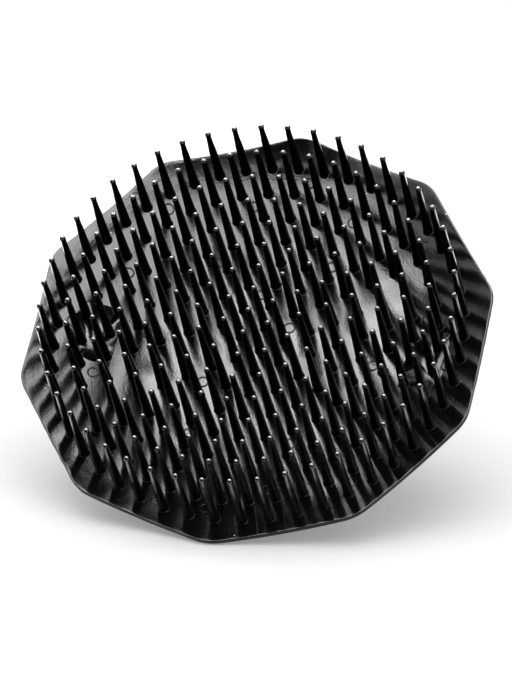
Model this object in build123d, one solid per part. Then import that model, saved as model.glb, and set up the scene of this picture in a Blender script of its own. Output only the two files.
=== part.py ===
from build123d import *
import math
import os

# Palm scalp massager brush: a dished ten-sided plate with rings of tapered pins on its front, and a
# finger bow pegged to its back. +Z points along the pins. +Y points through one corner of the plate.
# The origin is the middle of the bow's crown, on its outer face, on which the brush stands.

# Driving dimensions, in millimetres
PIN_PITCH = 4.9
RING_COUNT = 8
PINS_PER_RING_STEP = 6
FIRST_PIN_ANGLE = 90.0

PLATE_CORNERS = 10
PLATE_CORNER_REACH = 45.1
PLATE_CORNER_RADIUS = 7.8
PLATE_THICKNESS = 1.2
PLATE_FRONT_Z = 25.0
DISH_FLAT_RADIUS = 18.9
DISH_CURVE_RADIUS = 66.0
RIM_ROUNDING = 0.35
# How far the dish is drawn past the outline, and the tall prism that cuts the outline from it.
DISH_OVERREACH = 3.0
PRISM_BELOW_FRONT = 10.0
PRISM_HEIGHT = 30.0

PIN_LENGTH = 14.6
PIN_ROOT_RADIUS = 0.97
PIN_TIP_RADIUS = 0.56
PIN_ROOT_COLLAR = 0.35
PIN_ROOT_EXTENSION = 0.6

BOW_WIDTH = 20.0
BOW_THICKNESS = 3.8
CROWN_HALF_LENGTH = 15.5
LEG_FOOT_X = 27.5
FOOT_END_X = 37.0
FOOT_THICKNESS = 2.6
SHOULDER_RADIUS = 9.0
INSTEP_RADIUS = 4.0
HEEL_RADIUS = 1.0
BOW_EDGE_ROUNDING = 1.1

PAD_FACE_Z = 22.0
PAD_INNER_X = 24.0
PAD_OUTER_X = 38.0
PAD_WIDTH = 21.0
PAD_CORNER_RADIUS = 2.5
PAD_DRAFT_ANGLE = 12.0

PEG_RADIUS = 1.6
PEG_LENGTH = 2.8
PEG_X = 32.0
PEG_Y = 5.5
PEG_CHAMFER = 0.3
SOCKET_DEPTH = 3.0

# How near a drawn point must be to count as the one looked for
NEAR = 0.01


def dish_rise(radius):
    """Height of the plate's front above its flat middle, at a distance from the axis."""
    past_flat = max(0.0, radius - DISH_FLAT_RADIUS)
    return DISH_CURVE_RADIUS - math.sqrt(DISH_CURVE_RADIUS**2 - past_flat**2)


def dished_disc(top_offset, bottom_z=None, bottom_offset=None):
    """Revolved disc whose top is the dish lowered by top_offset. Its bottom is flat at bottom_z,
    or the dish lowered by bottom_offset."""
    reach = PLATE_CORNER_REACH + DISH_OVERREACH

    def dish_edge(offset):
        flat_z = PLATE_FRONT_Z - offset
        curve_radius = DISH_CURVE_RADIUS + offset
        end_angle = math.asin((reach - DISH_FLAT_RADIUS) / curve_radius)
        centre = (DISH_FLAT_RADIUS, flat_z + curve_radius)
        end_z = centre[1] - curve_radius * math.cos(end_angle)
        middle = (
            centre[0] + curve_radius * math.sin(end_angle / 2),
            centre[1] - curve_radius * math.cos(end_angle / 2),
        )
        return (DISH_FLAT_RADIUS, flat_z), middle, (reach, end_z)

    flat_end, middle, rim = dish_edge(top_offset)
    edges = [
        Line((0, flat_end[1]), flat_end),
        ThreePointArc(flat_end, middle, rim),
    ]
    if bottom_offset is None:
        edges.append(Line(rim, (reach, bottom_z)))
        edges.append(Line((reach, bottom_z), (0, bottom_z)))
        edges.append(Line((0, bottom_z), (0, flat_end[1])))
    else:
        low_flat_end, low_middle, low_rim = dish_edge(bottom_offset)
        edges.append(Line(rim, low_rim))
        edges.append(ThreePointArc(low_rim, low_middle, low_flat_end))
        edges.append(Line(low_flat_end, (0, low_flat_end[1])))
        edges.append(Line((0, low_flat_end[1]), (0, flat_end[1])))
    profile = Plane.XZ * make_face(edges)
    return revolve(profile, axis=Axis.Z)


def ten_sided_prism():
    """Upright prism with the plate's outline: ten sides with rounded corners."""
    corner_centre = PLATE_CORNER_REACH - PLATE_CORNER_RADIUS
    half_step = math.pi / PLATE_CORNERS
    apex_radius = corner_centre + PLATE_CORNER_RADIUS / math.cos(half_step)
    outline = RegularPolygon(apex_radius, PLATE_CORNERS, rotation=FIRST_PIN_ANGLE)
    outline = fillet(outline.vertices(), PLATE_CORNER_RADIUS)
    return Pos(0, 0, PLATE_FRONT_Z - PRISM_BELOW_FRONT) * extrude(outline, PRISM_HEIGHT)


def peg_places():
    """The four places of the bow's pegs, on the pads' face."""
    return [Pos(x, y, PAD_FACE_Z) for x in (-PEG_X, PEG_X) for y in (-PEG_Y, PEG_Y)]


def make_tooth_plate():
    """Dished plate of even thickness, with two pads moulded on its back for the bow's feet.
    Each pad has two blind sockets."""
    plate = dished_disc(0.0, bottom_offset=PLATE_THICKNESS) & ten_sided_prism()
    rim_z = PLATE_FRONT_Z + dish_rise(PLATE_CORNER_REACH) - PLATE_THICKNESS
    rim_edges = [
        edge
        for edge in plate.edges()
        if math.hypot(edge.center().X, edge.center().Y) > 2 * DISH_FLAT_RADIUS
        and abs(edge.tangent_at(0.5).Z) < math.sqrt(0.5)
    ]
    plate = fillet(rim_edges, RIM_ROUNDING)
    below_plate = dished_disc(PLATE_THICKNESS / 2, bottom_z=PAD_FACE_Z)
    pad_length = PAD_OUTER_X - PAD_INNER_X
    pad_outline = RectangleRounded(pad_length, PAD_WIDTH, PAD_CORNER_RADIUS)
    pad_block = extrude(pad_outline, rim_z - PAD_FACE_Z, taper=-PAD_DRAFT_ANGLE)
    pad_middle = (PAD_INNER_X + PAD_OUTER_X) / 2
    for side in (-1, 1):
        pad = Pos(side * pad_middle, 0, PAD_FACE_Z) * pad_block
        plate += pad & below_plate
    socket = Pos(0, 0, SOCKET_DEPTH / 2) * Cylinder(PEG_RADIUS, SOCKET_DEPTH)
    for place in peg_places():
        plate -= place * socket
    return plate


def make_pin(radius):
    """One tapered pin standing on the plate's front at a distance from the axis, along +X.
    Its foot follows the dish."""
    tip_cone_z = PIN_LENGTH - PIN_TIP_RADIUS
    tip_shoulder = PIN_TIP_RADIUS * math.sqrt(0.5)
    edges = [
        Line((0, -PIN_ROOT_EXTENSION), (PIN_ROOT_RADIUS, -PIN_ROOT_EXTENSION)),
        Line((PIN_ROOT_RADIUS, -PIN_ROOT_EXTENSION), (PIN_ROOT_RADIUS, PIN_ROOT_COLLAR)),
        Line((PIN_ROOT_RADIUS, PIN_ROOT_COLLAR), (PIN_TIP_RADIUS, tip_cone_z)),
        ThreePointArc(
            (PIN_TIP_RADIUS, tip_cone_z),
            (tip_shoulder, tip_cone_z + tip_shoulder),
            (0, PIN_LENGTH),
        ),
        Line((0, PIN_LENGTH), (0, -PIN_ROOT_EXTENSION)),
    ]
    pin = revolve(Plane.XZ * make_face(edges), axis=Axis.Z)
    pin = Pos(radius, 0, PLATE_FRONT_Z + dish_rise(radius)) * pin
    return pin - dished_disc(0.0, bottom_offset=PLATE_THICKNESS)


def make_pin_ring(ring):
    """All the pins of one ring, as separate solids: six more on each ring than on the last."""
    count = PINS_PER_RING_STEP * ring
    pin = make_pin(ring * PIN_PITCH).solid()
    step = 360.0 / count
    return Compound(
        children=[Rot(0, 0, FIRST_PIN_ANGLE + step * place) * pin for place in range(count)]
    )


def make_grip_bow():
    """Flat bar bent into a finger bow: a crown, two splayed legs and two feet, with two pegs
    on each foot."""
    leg = Vector(LEG_FOOT_X - CROWN_HALF_LENGTH, PAD_FACE_Z - FOOT_THICKNESS)
    leg_slope = leg.X / leg.Y
    side_shift = BOW_THICKNESS * leg.length / leg.Y
    inner_crown_x = CROWN_HALF_LENGTH - side_shift + BOW_THICKNESS * leg_slope
    inner_foot_x = CROWN_HALF_LENGTH - side_shift + PAD_FACE_Z * leg_slope
    foot_under_z = PAD_FACE_Z - FOOT_THICKNESS
    shoulder = (CROWN_HALF_LENGTH, 0)
    instep = (LEG_FOOT_X, foot_under_z)
    toe_low = (FOOT_END_X, foot_under_z)
    toe_high = (FOOT_END_X, PAD_FACE_Z)
    heel = (inner_foot_x, PAD_FACE_Z)
    armpit = (inner_crown_x, BOW_THICKNESS)
    right = [shoulder, instep, toe_low, toe_high, heel, armpit]
    left = [(-x, z) for x, z in reversed(right)]
    section = make_face(Polyline(right + left, close=True))
    roundings = {
        shoulder: SHOULDER_RADIUS,
        instep: INSTEP_RADIUS,
        toe_low: HEEL_RADIUS,
        heel: HEEL_RADIUS,
        armpit: SHOULDER_RADIUS - BOW_THICKNESS,
    }
    for corner, radius in roundings.items():
        matching = [
            vertex
            for vertex in section.vertices()
            if abs(abs(vertex.X) - corner[0]) < NEAR and abs(vertex.Y - corner[1]) < NEAR
        ]
        section = fillet(matching, radius)
    bow = extrude(Plane.XZ * section, BOW_WIDTH / 2, both=True)
    long_edges = [
        edge
        for edge in bow.edges()
        if abs(abs(edge.center().Y) - BOW_WIDTH / 2) < NEAR
        and edge.center().Z < PAD_FACE_Z - NEAR
        and abs(edge.center().X) < FOOT_END_X - NEAR
    ]
    bow = fillet(long_edges, BOW_EDGE_ROUNDING)
    peg = Pos(0, 0, PEG_LENGTH / 2) * Cylinder(PEG_RADIUS, PEG_LENGTH)
    peg = chamfer(peg.edges().group_by(Axis.Z)[-1], PEG_CHAMFER)
    for place in peg_places():
        bow += place * peg
    return bow


os.makedirs("parts", exist_ok=True)
pieces = {
    "tooth_plate": make_tooth_plate(),
    "centre_pin": make_pin(0.0),
    "grip_bow": make_grip_bow(),
}
for ring in range(1, RING_COUNT + 1):
    pieces[f"pin_ring_{ring}"] = make_pin_ring(ring)
for name, piece in pieces.items():
    piece.label = name
    export_step(piece, f"parts/{name}.step")
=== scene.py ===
import math

import bpy
import numpy as np
from mathutils import Matrix, Quaternion, Vector


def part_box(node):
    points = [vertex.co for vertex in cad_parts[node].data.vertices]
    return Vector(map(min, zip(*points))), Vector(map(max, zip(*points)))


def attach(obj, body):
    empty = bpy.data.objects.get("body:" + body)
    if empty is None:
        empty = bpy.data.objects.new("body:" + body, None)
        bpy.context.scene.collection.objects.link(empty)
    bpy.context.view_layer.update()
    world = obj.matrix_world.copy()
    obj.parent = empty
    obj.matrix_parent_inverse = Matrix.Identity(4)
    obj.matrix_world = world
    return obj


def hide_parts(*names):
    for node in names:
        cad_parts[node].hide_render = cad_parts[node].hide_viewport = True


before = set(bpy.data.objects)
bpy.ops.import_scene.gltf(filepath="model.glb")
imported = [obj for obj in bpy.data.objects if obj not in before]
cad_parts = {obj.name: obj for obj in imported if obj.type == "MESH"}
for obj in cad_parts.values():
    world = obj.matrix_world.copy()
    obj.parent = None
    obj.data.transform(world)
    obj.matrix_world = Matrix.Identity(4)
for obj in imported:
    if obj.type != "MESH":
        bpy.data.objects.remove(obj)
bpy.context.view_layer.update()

# The tooth plate. A shallow ten-sided dish of even thickness, moulded with its pins in one shot of
# satin black plastic. The two halves of the mould meet half way up the rim, and leave a fine ragged
# line of flash there. The middle of the back has the stub of the gate that the plastic came in by.
MM = 0.001
PLATE_CORNERS = 10
PLATE_CORNER_RADIUS = 7.8
PLATE_THICKNESS = 1.2
DISH_FLAT_RADIUS = 18.9
DISH_CURVE_RADIUS = 66.0
RIM_ROUNDING = 0.32
RIM_ROUNDING_STEPS = 5
PARTING_HEIGHT = 0.5
FLASH_REACH = 0.06
# The flash's waves round the rim, its usual reach, how much a wave adds, and its least and most.
FLASH_WAVES = (3, 7, 13, 29, 61, 97, 131)
FLASH_USUAL = 0.6
FLASH_RAGGEDNESS = 0.3
FLASH_LIMITS = (0.1, 1.6)
PLATE_AROUND = 440
PLATE_ACROSS = 72
RIPPLE_WAVES = 26
RIPPLE_LENGTHS = (4.0, 17.0)
RIPPLE_SLOPE = 0.0065
# Height off the parting line and share of the flash's reach, over the flash and down again.
FLASH_PROFILE = ((0.12, 0.0), (0.05, 0.3), (0.0, 1.0), (-0.05, 0.3), (-0.12, 0.0))
# Radius and drop of the gate stub's rings, from its broken-off middle out to the plate's back.
GATE_STUB_PROFILE = ((0.25, 0.42), (0.62, 0.5), (0.8, 0.42), (1.0, 0.12), (1.5, 0.0))
GATE_DIMPLE_PROFILE = ((2.1, -0.12), (2.9, 0.0))

middle_pin_low, middle_pin_high = (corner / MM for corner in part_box("centre_pin"))
plate_low, plate_high = (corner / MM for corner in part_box("tooth_plate"))
plate_reach = plate_high.y
front_z = middle_pin_low.z


def outline_reach(angle):
    """Distance from the axis to the plate's outline. Along a side it is the side's distance over
    the cosine of the angle from the side's middle. Round a corner it is where the ray leaves the
    corner's circle."""
    step = 2.0 * math.pi / PLATE_CORNERS
    off_corner = np.abs((angle - math.pi / 2 + step / 2) % step - step / 2)
    circle_at = plate_reach - PLATE_CORNER_RADIUS
    side_at = circle_at * math.cos(step / 2) + PLATE_CORNER_RADIUS
    side = side_at / np.cos(step / 2 - off_corner)
    across = np.minimum(circle_at * np.sin(off_corner), PLATE_CORNER_RADIUS)
    corner = circle_at * np.cos(off_corner) + np.sqrt(PLATE_CORNER_RADIUS**2 - across**2)
    corner_ends = math.atan2(
        PLATE_CORNER_RADIUS * math.sin(step / 2),
        circle_at + PLATE_CORNER_RADIUS * math.cos(step / 2),
    )
    return np.where(off_corner < corner_ends, corner, side)


def dish_rise(x, y):
    """Height of the dish above its flat middle: none inside the flat's radius, then a circular arc
    that leaves it level."""
    past_flat = np.maximum(np.hypot(x, y) - DISH_FLAT_RADIUS, 0.0)
    return DISH_CURVE_RADIUS - np.sqrt(DISH_CURVE_RADIUS**2 - past_flat**2)


ripple_rng = np.random.default_rng(11)
ripple_lengths = ripple_rng.uniform(*RIPPLE_LENGTHS, RIPPLE_WAVES)
ripple_turns = ripple_rng.uniform(0.0, 2.0 * math.pi, RIPPLE_WAVES)
ripple_starts = ripple_rng.uniform(0.0, 2.0 * math.pi, RIPPLE_WAVES)


def front_height(x, y):
    """Height of the plate's front: the dish, plus a sum of faint sine waves of many lengths and
    directions, as a thin moulding has where it has shrunk unevenly."""
    ripple = np.zeros_like(x)
    for length, turn, start in zip(ripple_lengths, ripple_turns, ripple_starts):
        wave_number = 2.0 * math.pi / length
        along = x * math.cos(turn) + y * math.sin(turn)
        ripple += RIPPLE_SLOPE / wave_number * np.sin(wave_number * along + start)
    return front_z + dish_rise(x, y) + ripple


def piece_from(name, vertices, faces):
    """Smooth-shaded mesh object from points in millimetres and faces as lists of point numbers."""
    mesh = bpy.data.meshes.new(name)
    mesh.from_pydata((np.asarray(vertices) * MM).tolist(), [], faces)
    mesh.shade_smooth()
    piece = bpy.data.objects.new(name, mesh)
    bpy.context.scene.collection.objects.link(piece)
    return piece


def skin(rows, first_number=0):
    """Points and faces of a closed surface. rows is a grid of rings of points, each ring closed on
    itself. The first and the last ring are each closed by a fan to the ring's middle."""
    ring_count, ring_size = rows.shape[:2]
    number = first_number + np.arange(ring_count * ring_size).reshape(ring_count, ring_size)
    beside = np.roll(number, -1, axis=1)
    quads = np.stack([number[:-1], beside[:-1], beside[1:], number[1:]], axis=-1)
    start_middle = first_number + number.size
    end_middle = start_middle + 1
    start_fan = np.stack([beside[0], number[0], np.full(ring_size, start_middle)], axis=-1)
    end_fan = np.stack([number[-1], beside[-1], np.full(ring_size, end_middle)], axis=-1)
    middles = np.stack([rows[0].mean(axis=0), rows[-1].mean(axis=0)])
    points = np.vstack([rows.reshape(-1, 3), middles])
    return points, quads.reshape(-1, 4).tolist() + start_fan.tolist() + end_fan.tolist()


def flash_line(angle, seed):
    """How far the flash stands out at each angle: a sum of cosines of many rates, never negative."""
    rng = np.random.default_rng(seed)
    raggedness = np.zeros_like(angle)
    for cycles in FLASH_WAVES:
        start = rng.uniform(0.0, 2.0 * math.pi)
        raggedness += rng.uniform(0.3, 1.0) * np.cos(cycles * angle + start)
    return FLASH_REACH * np.clip(FLASH_USUAL + FLASH_RAGGEDNESS * raggedness, *FLASH_LIMITS)


def plate_rows():
    """Rings of the plate from the gate stub in the middle of its back, out under the rim, round the
    rim's rounded edges and its flash line, and over the front to the middle."""
    angle = np.linspace(0.0, 2.0 * math.pi, PLATE_AROUND, endpoint=False)
    reach = outline_reach(angle)
    flash = flash_line(angle, 5)

    def ring(radius, below_front, rippled):
        x = radius * np.cos(angle)
        y = radius * np.sin(angle)
        height = front_height(x, y) if rippled else front_z + dish_rise(x, y)
        return np.stack([x, y, height - below_front], axis=-1)

    share = np.linspace(0.006, 1.0, PLATE_ACROSS)
    inner_reach = reach - RIM_ROUNDING
    turn = np.linspace(0.0, math.pi / 2, RIM_ROUNDING_STEPS + 1)
    rows = []
    for radius, drop in GATE_STUB_PROFILE + GATE_DIMPLE_PROFILE:
        rows.append(ring(np.full_like(reach, radius), PLATE_THICKNESS + drop, False))
    past_gate = share[:-1][share[:-1] > radius / plate_reach]
    rows += [ring(inner_reach * part, PLATE_THICKNESS, False) for part in past_gate]
    for step in turn:
        inset = RIM_ROUNDING * (1.0 - math.sin(step))
        drop = PLATE_THICKNESS - RIM_ROUNDING * (1.0 - math.cos(step))
        rows.append(ring(reach - inset, drop, False))
    for offset, share_of_flash in FLASH_PROFILE:
        drop = PLATE_THICKNESS - PARTING_HEIGHT + offset
        rows.append(ring(reach + flash * share_of_flash, drop, False))
    for step in turn:
        inset = RIM_ROUNDING * (1.0 - math.cos(step))
        drop = RIM_ROUNDING * (1.0 - math.sin(step))
        rows.append(ring(reach - inset, drop, True))
    rows += [ring(inner_reach * part, 0.0, True) for part in share[-2::-1]]
    return np.array(rows)


plate = piece_from("plate_moulding", *skin(plate_rows()))


def add_node(tree, kind, **settings):
    """New shader node with the given settings."""
    node = tree.nodes.new(kind)
    for key, value in settings.items():
        setattr(node, key, value)
    return node


def feed(tree, socket, source):
    """Joins a socket to another node's output, or gives it a plain value."""
    if isinstance(source, bpy.types.NodeSocket):
        tree.links.new(source, socket)
    else:
        socket.default_value = source


def maths(tree, operation, *sources):
    """Output of a Math node on the given outputs or numbers."""
    node = add_node(tree, "ShaderNodeMath", operation=operation)
    for socket, source in zip(node.inputs, sources):
        feed(tree, socket, source)
    return node.outputs[0]


def spread(tree, value, low, high, to_low=0.0, to_high=1.0):
    """Output of a Map Range node that carries low..high to to_low..to_high and stops at its ends."""
    node = add_node(tree, "ShaderNodeMapRange")
    for label, source in zip(
        ("Value", "From Min", "From Max", "To Min", "To Max"), (value, low, high, to_low, to_high)
    ):
        feed(tree, node.inputs[label], source)
    return node.outputs[0]


def noise(tree, vector, scale, detail=0.0):
    """Output of a Noise Texture, from 0 to 1."""
    node = add_node(tree, "ShaderNodeTexNoise")
    feed(tree, node.inputs["Vector"], vector)
    feed(tree, node.inputs["Scale"], scale)
    feed(tree, node.inputs["Detail"], detail)
    return node.outputs[0]


def effect(name, inputs, outputs):
    """New node group with named number inputs, and a Position input in metres."""
    tree = bpy.data.node_groups.new(name, "ShaderNodeTree")
    tree.interface.new_socket("Position", in_out="INPUT", socket_type="NodeSocketVector")
    for label in inputs:
        tree.interface.new_socket(label, in_out="INPUT", socket_type="NodeSocketFloat")
    for label in outputs:
        tree.interface.new_socket(label, in_out="OUTPUT", socket_type="NodeSocketFloat")
    return tree, tree.nodes.new("NodeGroupInput").outputs, tree.nodes.new("NodeGroupOutput").inputs


# How many features a metre holds: flow lines along the flow and across it, sinks and gloss patches.
FLOW_ALONG_DETAIL = 70.0
FLOW_ACROSS_DETAIL = 1100.0
SINK_DETAIL = 260.0
GLOSS_PATCH_DETAIL = 95.0
# The noise values at which a patch starts to be glossy, and is fully so.
GLOSS_PATCH_EDGES = (0.35, 0.65)
# Distances from the gate, in metres, where the flow lines start and where they are full.
FLOW_START = 0.024
FLOW_FULL = 0.042


def make_mould_finish():
    """What the mould leaves on the plastic. Height adds fine grain, soft sinks, and flow lines that
    run round the gate and die out towards it. Gloss is where the plastic set shinier."""
    tree, given, result = effect(
        "mould_finish", ("Grain Size", "Grain", "Sinks", "Flow Lines"), ("Height", "Gloss")
    )
    position = given["Position"]
    level = add_node(tree, "ShaderNodeVectorMath", operation="MULTIPLY")
    feed(tree, level.inputs[0], position)
    feed(tree, level.inputs[1], (1.0, 1.0, 0.0))
    radius = add_node(tree, "ShaderNodeVectorMath", operation="LENGTH")
    feed(tree, radius.inputs[0], level.outputs[0])
    radius = radius.outputs["Value"]
    split = add_node(tree, "ShaderNodeSeparateXYZ")
    feed(tree, split.inputs[0], position)
    round_gate = add_node(tree, "ShaderNodeCombineXYZ")
    feed(tree, round_gate.inputs[0], maths(tree, "MULTIPLY", split.outputs[0], FLOW_ALONG_DETAIL))
    feed(tree, round_gate.inputs[1], maths(tree, "MULTIPLY", split.outputs[1], FLOW_ALONG_DETAIL))
    feed(tree, round_gate.inputs[2], maths(tree, "MULTIPLY", radius, FLOW_ACROSS_DETAIL))
    flow = noise(tree, round_gate.outputs[0], 1.0, 1.0)
    outwards = spread(tree, radius, FLOW_START, FLOW_FULL)
    grain = noise(tree, position, maths(tree, "DIVIDE", 1.0, given["Grain Size"]), 1.5)
    sinks = noise(tree, position, SINK_DETAIL, 1.0)
    height = maths(tree, "MULTIPLY", grain, given["Grain"])
    height = maths(tree, "MULTIPLY_ADD", sinks, given["Sinks"], height)
    flow = maths(tree, "MULTIPLY", flow, outwards)
    feed(tree, result["Height"], maths(tree, "MULTIPLY_ADD", flow, given["Flow Lines"], height))
    patches = noise(tree, position, GLOSS_PATCH_DETAIL, 2.0)
    feed(tree, result["Gloss"], spread(tree, patches, *GLOSS_PATCH_EDGES))
    return tree


# The two directions of the hairlines, their detail along, across and up, and how rare they are.
HAIRLINE_TURNS = (0.5, 2.2)
HAIRLINE_DETAIL = (110.0, 5200.0, 900.0)
HAIRLINE_FROM = 0.74
HAIRLINE_FULL = 0.80
# Cells per metre that may each hold one speck of dust, the share left empty, and the largest speck.
DUST_CELLS = 420.0
DUST_FREE_SHARE = 0.88
DUST_LARGEST = 0.07


def make_handling():
    """What use leaves on the plastic. Scratches are hairlines in two directions, dust is rare small
    specks, and polish grows with height, where the scalp rubs."""
    tree, given, result = effect(
        "handling",
        ("Scratches", "Dust", "Polish From", "Polish To"),
        ("Scratch", "Speck", "Polish"),
    )
    hairlines = 0.0
    for turn in HAIRLINE_TURNS:
        turned = add_node(tree, "ShaderNodeVectorRotate", rotation_type="Z_AXIS")
        feed(tree, turned.inputs["Vector"], given["Position"])
        feed(tree, turned.inputs["Angle"], turn)
        stretched = add_node(tree, "ShaderNodeVectorMath", operation="MULTIPLY")
        feed(tree, stretched.inputs[0], turned.outputs[0])
        feed(tree, stretched.inputs[1], HAIRLINE_DETAIL)
        line = noise(tree, stretched.outputs[0], 1.0)
        line = spread(tree, line, HAIRLINE_FROM, HAIRLINE_FULL)
        hairlines = maths(tree, "MAXIMUM", line, hairlines)
    feed(tree, result["Scratch"], maths(tree, "MULTIPLY", hairlines, given["Scratches"]))
    cells = add_node(tree, "ShaderNodeTexVoronoi")
    feed(tree, cells.inputs["Vector"], given["Position"])
    feed(tree, cells.inputs["Scale"], DUST_CELLS)
    shade = add_node(tree, "ShaderNodeSeparateColor")
    feed(tree, shade.inputs[0], cells.outputs["Color"])
    chosen = maths(tree, "GREATER_THAN", shade.outputs[0], DUST_FREE_SHARE)
    size = maths(tree, "MULTIPLY", shade.outputs[1], DUST_LARGEST)
    near = maths(tree, "LESS_THAN", cells.outputs["Distance"], size)
    speck = maths(tree, "MULTIPLY", chosen, near)
    feed(tree, result["Speck"], maths(tree, "MULTIPLY", speck, given["Dust"]))
    split = add_node(tree, "ShaderNodeSeparateXYZ")
    feed(tree, split.inputs[0], given["Position"])
    feed(
        tree,
        result["Polish"],
        spread(tree, split.outputs[2], given["Polish From"], given["Polish To"]),
    )
    return tree


mould_finish = make_mould_finish()
handling = make_handling()
PLASTIC_IOR = 1.5
BUMP_DEPTH = 0.00001
POLISHED_ROUGHNESS = 0.04
SCRATCH_ROUGHNESS = 0.2
DUST_ROUGHNESS = 0.5
DUST_COLOUR = (0.16, 0.155, 0.15, 1.0)


def black_plastic(name, dull, shiny, finish, wear, shade=0.0012):
    """Black moulded plastic. Its roughness lies between dull and shiny, by the mould's gloss and the
    polish of use, which also lays a clear shine on it. finish and wear are the two effects' values."""
    material = bpy.data.materials.new(name)
    material.use_nodes = True
    tree = material.node_tree
    shader = tree.nodes["Principled BSDF"]
    shader.inputs["IOR"].default_value = PLASTIC_IOR
    place = add_node(tree, "ShaderNodeTexCoord").outputs["Object"]
    groups = []
    for effect_tree, values in ((mould_finish, finish), (handling, wear)):
        node = add_node(tree, "ShaderNodeGroup", node_tree=effect_tree)
        feed(tree, node.inputs["Position"], place)
        for label, value in values.items():
            node.inputs[label].default_value = value
        groups.append(node.outputs)
    mould, use = groups
    gloss = maths(tree, "MAXIMUM", mould["Gloss"], use["Polish"])
    roughness = spread(tree, gloss, 0.0, 1.0, dull, shiny)
    roughness = maths(tree, "MULTIPLY_ADD", use["Scratch"], SCRATCH_ROUGHNESS, roughness)
    roughness = maths(tree, "MULTIPLY_ADD", use["Speck"], DUST_ROUGHNESS, roughness)
    feed(tree, shader.inputs["Roughness"], roughness)
    feed(tree, shader.inputs["Coat Weight"], use["Polish"])
    shader.inputs["Coat Roughness"].default_value = POLISHED_ROUGHNESS
    colour = add_node(tree, "ShaderNodeMix", data_type="RGBA")
    colour.inputs["A"].default_value = (shade, shade, shade * 1.05, 1.0)
    colour.inputs["B"].default_value = DUST_COLOUR
    feed(tree, colour.inputs["Factor"], use["Speck"])
    feed(tree, shader.inputs["Base Color"], colour.outputs["Result"])
    bump = add_node(tree, "ShaderNodeBump")
    bump.inputs["Distance"].default_value = BUMP_DEPTH
    feed(tree, bump.inputs["Height"], maths(tree, "SUBTRACT", mould["Height"], use["Scratch"]))
    feed(tree, shader.inputs["Normal"], bump.outputs[0])
    return material


plate_plastic = black_plastic(
    "black_plate_plastic",
    dull=0.19,
    shiny=0.13,
    finish={"Grain Size": 0.00036, "Grain": 1.7, "Sinks": 2.4, "Flow Lines": 1.6},
    wear={"Scratches": 0.15, "Dust": 0.7, "Polish From": 1.0, "Polish To": 1.1},
)


def finish_piece(piece, plastic, slot, *nodes):
    """Gives a piece its plastic, fixes it to the body and hides the CAD nodes that it stands for.
    Its slot argument is not used."""
    piece.data.materials.append(plastic)
    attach(piece, "root")
    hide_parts(*nodes)


finish_piece(plate, plate_plastic, "plate_plastic", "tooth_plate")

# The pads. Two low blocks on the plate's back, part of the same moulding, with drafted walls that
# flare into the plate. The bow's feet are pressed onto them, with pegs in blind sockets.
PAD_INNER_X = 24.0
PAD_OUTER_X = 38.0
PAD_WIDTH = 21.0
PAD_CORNER_RADIUS = 2.5
PAD_EDGE_ROUNDING = 0.3
PAD_DRAFT = math.tan(math.radians(12.0))
PAD_FLARE = 1.1
PAD_CORNER_STEPS = 7
# Insets of the flat face's rings, shares of the wall's height at which it has rings, and how far
# the flare's edge is let into the plate.
PAD_FACE_INSETS = (2.0, 0.6)
PAD_WALL_SHARES = (0.35, 0.7, 1.0)
PAD_LET_IN = 0.02
pad_face_z = plate_low.z


def rounded_rectangle(length, width, radius, corner_steps):
    """Closed loop of points round a rectangle in the XY plane with quarter-circle corners, and the
    outward direction at each point."""
    loop, outward = [], []
    for quarter, (side_x, side_y) in enumerate(((1, 1), (-1, 1), (-1, -1), (1, -1))):
        turn = (quarter + np.linspace(0.0, 1.0, corner_steps)) * math.pi / 2
        direction = np.stack([np.cos(turn), np.sin(turn)], axis=-1)
        middle = np.array([side_x * (length / 2 - radius), side_y * (width / 2 - radius)])
        loop.append(middle + radius * direction)
        outward.append(direction)
    return np.concatenate(loop), np.concatenate(outward)


def pad_rows(side):
    """Rings of one pad from the middle of its flat face, over the edge, up the drafted wall and out
    along the flare into the plate's back."""
    length = PAD_OUTER_X - PAD_INNER_X
    loop, outward = rounded_rectangle(length, PAD_WIDTH, PAD_CORNER_RADIUS, PAD_CORNER_STEPS)
    middle = np.array([side * (PAD_INNER_X + PAD_OUTER_X) / 2, 0.0])

    def ring(offset, height):
        spot = middle + loop + outward * np.reshape(offset, (-1, 1))
        return np.column_stack([spot, np.broadcast_to(height, len(spot))])

    def back_at(offset):
        spot = middle + loop + outward * np.reshape(offset, (-1, 1))
        return front_z - PLATE_THICKNESS + dish_rise(spot[:, 0], spot[:, 1])

    rows = [ring(-inset, pad_face_z) for inset in PAD_FACE_INSETS]
    for step in np.linspace(0.0, math.pi / 2, 4):
        inset = PAD_EDGE_ROUNDING * (1.0 - math.sin(step))
        rows.append(ring(-inset, pad_face_z + PAD_EDGE_ROUNDING * (1.0 - math.cos(step))))
    wall_height = back_at(0.0) - pad_face_z - PAD_FLARE
    for part in PAD_WALL_SHARES:
        height = PAD_EDGE_ROUNDING + (wall_height - PAD_EDGE_ROUNDING) * part
        rows.append(ring(height * PAD_DRAFT, pad_face_z + height))
    foot_offset = wall_height * PAD_DRAFT
    for step in np.linspace(0.25, 1.0, 4) * math.pi / 2:
        offset = foot_offset + PAD_FLARE * (1.0 - math.cos(step))
        height = back_at(offset) - PAD_FLARE * (1.0 - math.sin(step))
        rows.append(ring(offset, height + PAD_LET_IN))
    rows.append(ring(offset, height + PLATE_THICKNESS / 2))
    return np.array(rows)


for side, name in ((-1, "pad_left"), (1, "pad_right")):
    pad = piece_from(name, *skin(pad_rows(side)))
    finish_piece(pad, plate_plastic, "plate_plastic", "tooth_plate")

# The ejector marks. Round witness lines on the plate's front, where the mould's ejector pins ended
# between the brush's pins. Each is a fine raised ring, left by plastic that crept round the ejector.
MARK_RADIUS = 1.03
MARK_RIDGE_WIDTH = 0.15
MARK_RIDGE_HEIGHT = 0.15
MARK_AROUND = 28
MARK_RIDGE_POINTS = 8
RING_COUNT = 8
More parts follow.
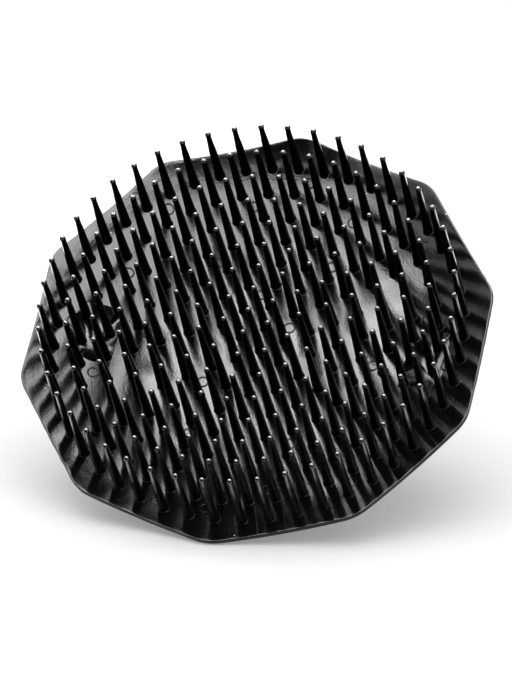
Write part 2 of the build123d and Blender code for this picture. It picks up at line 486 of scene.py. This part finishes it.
# How far a mark may be nudged to either side, in degrees on a circle of so many pin pitches.
MARK_NUDGE = 6.0
MARK_NUDGE_PITCHES = 4.5
MARK_NUDGE_TRIES = 49
# Each circle of marks: its radius in pin pitches, how many marks, and the first one's angle.
MARK_CIRCLES = ((7.5, 8, 41.0), (6.5, 8, 18.0), (4.5, 6, 1.0), (2.55, 3, 97.0), (1.45, 1, 48.0))

outer_ring_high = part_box(f"pin_ring_{RING_COUNT}")[1] / MM
pin_root_radius = middle_pin_high.x
pin_length = middle_pin_high.z - middle_pin_low.z
pin_pitch = (outer_ring_high.y - pin_root_radius) / RING_COUNT


def pin_places(ring):
    """Middles of one ring's pins: six more on each ring than on the last, evenly spaced, the first
    one towards +Y."""
    count = max(6 * ring, 1)
    turn = math.pi / 2 + 2.0 * math.pi * np.arange(count) / count
    return ring * pin_pitch * np.stack([np.cos(turn), np.sin(turn)], axis=-1)


all_pin_places = np.concatenate([pin_places(ring) for ring in range(RING_COUNT + 1)])


def mark_places():
    """Middles of the marks. Each is nudged along its circle to the widest gap between pins."""
    nudges = np.radians(np.linspace(-MARK_NUDGE, MARK_NUDGE, MARK_NUDGE_TRIES))
    places = []
    for pitches, count, first in MARK_CIRCLES:
        for number in range(count):
            turn = math.radians(first) + 2.0 * math.pi * number / count
            turn = turn + nudges * MARK_NUDGE_PITCHES / pitches
            spots = pitches * pin_pitch * np.stack([np.cos(turn), np.sin(turn)], axis=-1)
            gaps = np.linalg.norm(spots[:, None] - all_pin_places[None], axis=-1).min(axis=1)
            places.append(spots[np.argmax(gaps)])
    return places


def mark_ring(middle, first_number):
    """One raised ring: an ellipse carried round a circle that lies on the plate's front."""
    around = 2.0 * math.pi * np.arange(MARK_AROUND) / MARK_AROUND
    section = 2.0 * math.pi * np.arange(MARK_RIDGE_POINTS) / MARK_RIDGE_POINTS
    radius = MARK_RADIUS + MARK_RIDGE_WIDTH * np.cos(section)[:, None]
    x = middle[0] + radius * np.cos(around)
    y = middle[1] + radius * np.sin(around)
    ground = front_height(
        middle[0] + MARK_RADIUS * np.cos(around), middle[1] + MARK_RADIUS * np.sin(around)
    )
    z = ground + MARK_RIDGE_HEIGHT * np.sin(section)[:, None]
    number = first_number + np.arange(x.size).reshape(x.shape)
    beside = np.roll(number, -1, axis=1)
    faces = np.stack(
        [number, beside, np.roll(beside, -1, axis=0), np.roll(number, -1, axis=0)], axis=-1
    )
    return np.stack([x, y, z], axis=-1).reshape(-1, 3), faces.reshape(-1, 4).tolist()


mark_points, mark_faces = [], []
for middle in mark_places():
    points, faces = mark_ring(middle, MARK_AROUND * MARK_RIDGE_POINTS * len(mark_points))
    mark_points.append(points)
    mark_faces += faces
marks = piece_from("ejector_marks", np.concatenate(mark_points), mark_faces)
finish_piece(marks, plate_plastic, "plate_plastic", "tooth_plate")

# The pins. One in the middle and eight rings, 217 in all, moulded with the plate. Each tapers from
# a small blend at its root to a slightly swollen round tip that slides over the scalp. The mould is
# polished here, and use has polished the tips further.
PIN_SIDES = 10
# Radius and height of a pin's rings of points, from the edge of its root blend up to its tip.
PIN_BLEND_PROFILE = ((1.16, -0.012), (1.07, 0.08), (1.005, 0.36))
PIN_SHAFT_PROFILE = ((0.965, 1.0), (0.54, 13.6), (0.6, 14.0), (0.5, 14.32), (0.28, 14.52))


def pin_skin(middle, first_number):
    """Points, faces and point normals of one pin. It is a profile turned about the pin's axis. The
    root blend's rings follow the plate's front, and the blend's edge takes the plate's slope."""
    turn = 2.0 * math.pi * np.arange(PIN_SIDES) / PIN_SIDES
    around = np.stack([np.cos(turn), np.sin(turn)], axis=-1)
    axis_z = float(front_height(middle[0], middle[1]))
    profile = np.array(PIN_BLEND_PROFILE + PIN_SHAFT_PROFILE + ((0.0, pin_length),))
    spot = middle + profile[:-1, :1, None] * around[None]
    ground = front_height(spot[..., 0], spot[..., 1])
    on_blend = np.arange(len(profile) - 1) < len(PIN_BLEND_PROFILE)
    ground = np.where(on_blend[:, None], ground, axis_z)
    rows = np.concatenate([spot, (ground + profile[:-1, 1:])[..., None]], axis=-1)
    along = np.diff(profile, axis=0)
    lean = np.arctan2(along[:, 1], -along[:, 0])
    lean = np.concatenate([[0.0], (lean[:-1] + lean[1:]) / 2])
    outward = np.sin(lean)[:, None, None] * around[None]
    normals = np.concatenate(
        [outward, np.broadcast_to(np.cos(lean)[:, None, None], outward.shape[:2] + (1,))], axis=-1
    )
    number = first_number + np.arange(rows.shape[0] * PIN_SIDES).reshape(-1, PIN_SIDES)
    beside = np.roll(number, -1, axis=1)
    tip = first_number + number.size
    quads = np.stack([number[:-1], beside[:-1], beside[1:], number[1:]], axis=-1)
    faces = quads.reshape(-1, 4).tolist()
    faces += [[int(a), int(b), tip] for a, b in zip(number[-1], beside[-1])]
    faces.append(number[0][::-1].tolist())
    points = np.vstack([rows.reshape(-1, 3), [[middle[0], middle[1], axis_z + pin_length]]])
    return points, faces, np.vstack([normals.reshape(-1, 3), [[0.0, 0.0, 1.0]]])


def pin_ring(name, ring):
    """All the pins of one ring in one mesh, with the normals that their profile gives."""
    points, faces, normals = [], [], []
    for middle in pin_places(ring):
        first_number = sum(len(part) for part in points)
        pin_points, pin_faces, pin_normals = pin_skin(middle, first_number)
        points.append(pin_points)
        faces += pin_faces
        normals.append(pin_normals)
    piece = piece_from(name, np.concatenate(points), faces)
    piece.data.normals_split_custom_set_from_vertices(np.concatenate(normals).tolist())
    return piece


pin_plastic = black_plastic(
    "black_pin_plastic",
    dull=0.20,
    shiny=0.03,
    finish={"Grain Size": 0.0005, "Grain": 0.25, "Sinks": 0.6, "Flow Lines": 0.0},
    wear={"Scratches": 0.2, "Dust": 0.5, "Polish From": 0.0375, "Polish To": 0.0390},
    shade=0.0008,
)
finish_piece(pin_ring("pins_middle", 0), pin_plastic, "plate_plastic", "centre_pin")
for ring in range(1, RING_COUNT + 1):
    pins = pin_ring(f"pins_ring_{ring}", ring)
    finish_piece(pins, pin_plastic, "plate_plastic", f"pin_ring_{ring}")

# The grip bow. A flat bar bent into a finger bow: a crown that the palm or the table bears on, two
# splayed legs, and two feet that sit on the pads. It is a second moulding, in a duller spark-eroded
# finish, with its parting line round the middle of its edges.
BOW_WIDTH = 20.0
BOW_THICKNESS = 3.8
CROWN_HALF_LENGTH = 15.5
LEG_FOOT_X = 27.5
FOOT_END_X = 37.0
FOOT_THICKNESS = 2.6
SHOULDER_RADIUS = 9.0
INSTEP_RADIUS = 4.0
HEEL_RADIUS = 1.0
BOW_EDGE_ROUNDING = 1.1
BOW_ARC_STEPS = 9
BOW_RUN_STEPS = 6
BOW_SECTION_STEPS = 5
BOW_FLASH_HALF_WIDTH = 0.12
BOW_LEAST_FLAT = 0.15
# How far from the bar's end, and how much smaller than the full section, its rounded end rings are.
BOW_END_RINGS = ((0.0, 0.5), (0.06, 0.28), (0.2, 0.1), (0.5, 0.0))


def bent_line(corners, radii):
    """Points of a line through the corners in the XZ plane, with each inner corner rounded by an arc
    of its radius, and with its straight runs divided evenly."""
    corners = np.array(corners, float)
    points = [corners[:1]]
    for before, corner, after, radius in zip(corners[:-2], corners[1:-1], corners[2:], radii):
        back = (before - corner) / np.linalg.norm(before - corner)
        ahead = (after - corner) / np.linalg.norm(after - corner)
        half_angle = math.acos(float(back @ ahead)) / 2
        bisector = (back + ahead) / np.linalg.norm(back + ahead)
        middle = corner + bisector * radius / math.sin(half_angle)
        start = corner + back * radius / math.tan(half_angle) - middle
        end = corner + ahead * radius / math.tan(half_angle) - middle
        turn = math.pi - 2.0 * half_angle
        share = np.linspace(0.0, 1.0, BOW_ARC_STEPS)[:, None]
        arc = (start * np.sin((1.0 - share) * turn) + end * np.sin(share * turn)) / math.sin(turn)
        points.append(middle + arc)
    points.append(corners[-1:])
    line = []
    for last, following in zip(points[:-1], points[1:]):
        line.append(last)
        run = np.linspace(0.0, 1.0, BOW_RUN_STEPS + 1)[1:-1, None]
        line.append(last[-1] + run * (following[0] - last[-1]))
    return np.concatenate(line + [points[-1]])


def bow_section(thickness, inset, flash):
    """Rounded rectangle, thickness by width less an inset all round, with a small peak of flash at
    the middle of each narrow side."""
    size = (thickness - 2.0 * inset, BOW_WIDTH - 2.0 * inset)
    rounding = min(BOW_EDGE_ROUNDING, size[0] / 2 - BOW_LEAST_FLAT)
    loop, _ = rounded_rectangle(*size, rounding, BOW_SECTION_STEPS)
    quarters = np.split(loop, 4)
    peak = np.array([[BOW_FLASH_HALF_WIDTH, 0.0], [0.0, flash], [-BOW_FLASH_HALF_WIDTH, 0.0]])
    peak = peak + (0.0, size[1] / 2)
    return np.concatenate([quarters[0], peak, quarters[1], quarters[2], -peak, quarters[3]])


def bow_rows():
    """Rings of the bow from one foot's end to the other's. Each ring is a rounded rectangle that
    spans from the bar's outer line to its inner line and across its width."""
    run = Vector((LEG_FOOT_X - CROWN_HALF_LENGTH, pad_face_z - FOOT_THICKNESS))
    slope = run.x / run.y
    inner_shift = CROWN_HALF_LENGTH - BOW_THICKNESS * run.length / run.y
    foot_under_z = pad_face_z - FOOT_THICKNESS
    outer = [(FOOT_END_X, foot_under_z), (LEG_FOOT_X, foot_under_z), (CROWN_HALF_LENGTH, 0.0)]
    inner = [
        (FOOT_END_X, pad_face_z),
        (inner_shift + pad_face_z * slope, pad_face_z),
        (inner_shift + BOW_THICKNESS * slope, BOW_THICKNESS),
    ]
    lines = []
    for half, radii in (
        (outer, (INSTEP_RADIUS, SHOULDER_RADIUS)),
        (inner, (HEEL_RADIUS, SHOULDER_RADIUS - BOW_THICKNESS)),
    ):
        corners = half + [(-x, z) for x, z in reversed(half)]
        lines.append(bent_line(corners, radii + radii[::-1]))
    outer_line, inner_line = lines
    across = inner_line - outer_line
    thickness = np.linalg.norm(across, axis=1)
    across /= thickness[:, None]
    middle_line = (outer_line + inner_line) / 2
    flash = flash_line(np.linspace(0.0, 1.0, len(thickness)), 8)

    def ring(place, inset, shift=0.0):
        section = bow_section(thickness[place], inset, flash[place])
        spot = middle_line[place] + section[:, :1] * across[place]
        return np.column_stack([spot[:, 0] + shift, section[:, 1], spot[:, 1]])

    rows = [ring(0, inset, -shift) for shift, inset in BOW_END_RINGS]
    rows += [ring(place, 0.0) for place in range(1, len(thickness) - 1)]
    rows += [ring(-1, inset, shift) for shift, inset in reversed(BOW_END_RINGS)]
    return np.array(rows)


bow_plastic = black_plastic(
    "black_bow_plastic",
    dull=0.36,
    shiny=0.26,
    finish={"Grain Size": 0.0002, "Grain": 1.3, "Sinks": 2.0, "Flow Lines": 0.0},
    wear={"Scratches": 0.6, "Dust": 0.6, "Polish From": 0.0008, "Polish To": -0.0040},
)
bow = piece_from("grip_bow_moulding", *skin(bow_rows()))
finish_piece(bow, bow_plastic, "bow_plastic", "grip_bow")

# The table. A wide sheet of pale matt paper under the brush, which stands on the corner of its plate
# at -Y and leans back on the crown of its bow. The paper glows as if lit from all round, more in
# reflections than to the camera, and from below it lets the camera through.
FLOOR_HALF_SIZE = 2.5
FLOOR_SHADE = 0.055
FLOOR_GLOW = 0.36
FLOOR_GLOW_IN_REFLECTIONS = 1.1
PAPER_ROUGHNESS = 0.9
PAPER_FIBRE_DETAIL = 900.0
PAPER_FIBRE_CONTRAST = 0.015

crown_edge_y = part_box("grip_bow")[0].y / MM
rim_low_z = front_z + float(dish_rise(0.0, plate_reach)) - PLATE_THICKNESS
lean = math.atan2(rim_low_z, crown_edge_y + plate_reach)
floor_turn = Matrix.Rotation(-lean, 4, "X")
floor_axes = floor_turn.to_3x3()
floor_place = Matrix.Translation(Vector((0, -plate_reach, rim_low_z)) * MM) @ floor_turn


def make_floor():
    """One square in the plane under the plate's corner and the bow's crown."""
    corners = [
        floor_place @ Vector((x * FLOOR_HALF_SIZE, y * FLOOR_HALF_SIZE, 0))
        for x, y in ((-1, -1), (1, -1), (1, 1), (-1, 1))
    ]
    mesh = bpy.data.meshes.new("floor")
    mesh.from_pydata(corners, [], [(0, 1, 2, 3)])
    floor = bpy.data.objects.new("floor", mesh)
    bpy.context.scene.collection.objects.link(floor)
    return floor


def make_paper():
    """Matt paper whose shade wanders very slightly. A camera ray that meets its underside goes on
    through it."""
    material = bpy.data.materials.new("table_paper")
    material.use_nodes = True
    tree = material.node_tree
    shader = tree.nodes["Principled BSDF"]
    shader.inputs["Roughness"].default_value = PAPER_ROUGHNESS
    shader.inputs["Specular IOR Level"].default_value = 0.0
    shader.inputs["Emission Color"].default_value = (1.0, 1.0, 1.0, 1.0)
    place = add_node(tree, "ShaderNodeTexCoord").outputs["Object"]
    darkest = FLOOR_SHADE * (1.0 - PAPER_FIBRE_CONTRAST)
    palest = FLOOR_SHADE * (1.0 + PAPER_FIBRE_CONTRAST)
    fibre = spread(tree, noise(tree, place, PAPER_FIBRE_DETAIL, 3.0), 0.3, 0.7, darkest, palest)
    feed(tree, shader.inputs["Base Color"], fibre)
    underside = add_node(tree, "ShaderNodeNewGeometry").outputs["Backfacing"]
    from_camera = add_node(tree, "ShaderNodeLightPath").outputs["Is Camera Ray"]
    glow = spread(tree, from_camera, 0.0, 1.0, FLOOR_GLOW_IN_REFLECTIONS, FLOOR_GLOW)
    feed(tree, shader.inputs["Emission Strength"], glow)
    choice = add_node(tree, "ShaderNodeMixShader")
    feed(tree, choice.inputs[0], maths(tree, "MULTIPLY", underside, from_camera))
    feed(tree, choice.inputs[1], shader.outputs[0])
    feed(tree, choice.inputs[2], add_node(tree, "ShaderNodeBsdfTransparent").outputs[0])
    feed(tree, tree.nodes["Material Output"].inputs["Surface"], choice.outputs[0])
    return material


floor = make_floor()
floor.data.materials.append(make_paper())

# The lights. Rectangular softboxes round the brush, at the same distance from it. They show in the
# plastic as its bright patches, and the dark room between them shows as its blacks. The low one
# behind the brush puts the bright edges on the pins' tips.
LIGHT_DISTANCE = 1.0
# Azimuth from the front, height over the table, width and height, all in degrees; brightness.
SOFTBOXES = {
    "overhead_softbox": (0, 80, 56, 56, 12.5),
    "key_softbox": (-74, 66, 18, 20, 5.0),
    "front_softbox": (26, 54, 40, 10, 1.8),
    "left_softbox": (-80, 46, 80, 21, 4.2),
    "back_softbox": (200, 54, 80, 26, 8.0),
    "rim_softbox": (-145, 22, 80, 12, 18.0),
    "low_left_softbox": (-100, 10, 40, 10, 4.0),
    "low_right_softbox": (82, 37, 60, 44, 4.2),
}
plate_middle = Vector((0, 0, front_z)) * MM


def from_floor(azimuth, elevation):
    """Direction from the brush, given as an azimuth from the front and a height above the floor."""
    around = math.radians(azimuth)
    height = math.radians(elevation)
    level = Vector((math.sin(around), -math.cos(around), 0)) * math.cos(height)
    return floor_axes @ (level + Vector((0, 0, math.sin(height))))


def facing(direction):
    """Turn that points an object's -Z axis back along a direction, with its Y axis kept upright."""
    upright = floor_axes @ Vector((0, 0, 1))
    side = upright.cross(direction).normalized()
    return Matrix((side, direction.cross(side), direction)).transposed().to_quaternion()


def place_in_scene(name, data, place, turn):
    """New light or camera at a place, turned by a quaternion."""
    thing = bpy.data.objects.new(name, data)
    bpy.context.scene.collection.objects.link(thing)
    thing.rotation_mode = "QUATERNION"
    thing.rotation_quaternion = turn
    thing.location = place
    return thing


for name, (azimuth, elevation, width, height, brightness) in SOFTBOXES.items():
    data = bpy.data.lights.new(name, "AREA")
    data.shape = "RECTANGLE"
    data.size = 2.0 * LIGHT_DISTANCE * math.tan(math.radians(width / 2))
    data.size_y = 2.0 * LIGHT_DISTANCE * math.tan(math.radians(height / 2))
    data.energy = math.pi * data.size * data.size_y * brightness
    direction = from_floor(azimuth, elevation)
    place_in_scene(name, data, plate_middle + direction * LIGHT_DISTANCE, facing(direction))

# The room. A white backdrop to the camera, and a soft light from all round on matt things. In
# reflections it is nearly black, as a dark studio is between its lights.
ROOM_TO_CAMERA = 1.0
ROOM_TO_TABLE = 8.0
ROOM_IN_REFLECTIONS = 0.02

room = bpy.data.worlds.new("room")
bpy.context.scene.world = room
room.use_nodes = True
room_tree = room.node_tree
ray = add_node(room_tree, "ShaderNodeLightPath").outputs
brightness = spread(room_tree, ray["Is Diffuse Ray"], 0.0, 1.0, ROOM_IN_REFLECTIONS, ROOM_TO_TABLE)
brightness = spread(room_tree, ray["Is Camera Ray"], 0.0, 1.0, brightness, ROOM_TO_CAMERA)
background = room_tree.nodes["Background"]
background.inputs["Color"].default_value = (1.0, 1.0, 1.0, 1.0)
feed(room_tree, background.inputs["Strength"], brightness)

# The camera. A long lens in front of the brush, a little to its right and above it, held level with
# the table. It aims a little off the middle of the plate, and the picture is printed hard.
CAMERA_AZIMUTH = 14.8
CAMERA_ELEVATION = 18.37
CAMERA_ROLL = 0.37
CAMERA_DISTANCE = 1.066
LENS = 298.0
AIM_LEFT = 0.82
AIM_UP = 1.63
CONTRAST_GAMMA = 0.64

towards_camera = from_floor(CAMERA_AZIMUTH, CAMERA_ELEVATION)
camera_turn = facing(towards_camera) @ Quaternion((0, 0, 1), math.radians(CAMERA_ROLL))
camera_axes = camera_turn.to_matrix()
aim = plate_middle - camera_axes.col[0] * AIM_LEFT * MM + camera_axes.col[1] * AIM_UP * MM
camera_data = bpy.data.cameras.new("camera")
camera_data.lens = LENS
camera = place_in_scene("camera", camera_data, aim + towards_camera * CAMERA_DISTANCE, camera_turn)
bpy.context.scene.camera = camera
bpy.context.scene.view_settings.view_transform = "Standard"
bpy.context.scene.view_settings.gamma = CONTRAST_GAMMA
